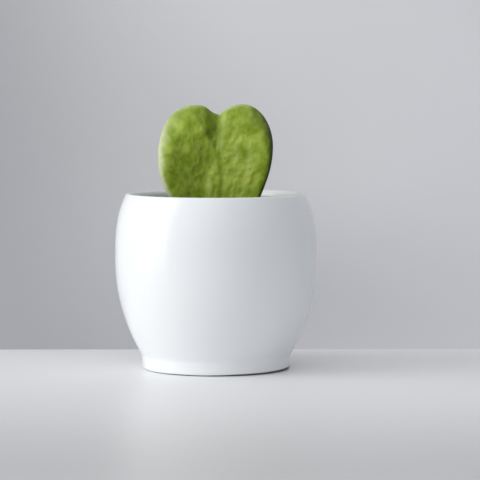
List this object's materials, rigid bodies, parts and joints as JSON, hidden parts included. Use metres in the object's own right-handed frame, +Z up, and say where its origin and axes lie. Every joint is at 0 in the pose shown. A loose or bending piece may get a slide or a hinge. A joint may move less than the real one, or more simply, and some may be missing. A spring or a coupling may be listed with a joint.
{
  "type": "potted hoya plant",
  "caption": "Heart-shaped succulent hoya leaf standing in potting mix in a round, footed, white glazed pot.",
  "frame": {"origin": "middle of the pot's foot, on the surface it stands on", "axes": "+Z up along the pot's axis; -Y is the leaf's front, +X is to the right seen from the front"},
  "size_m": [0.125, 0.125, 0.1635],
  "materials": {
    "glaze": "gloss",
    "potting_mix": "matte",
    "leaf_skin": "satin"
  },
  "bodies": {
    "root": {"pot": "glaze", "soil": "potting_mix", "leaf": "leaf_skin"}
  },
  "joints": []
}
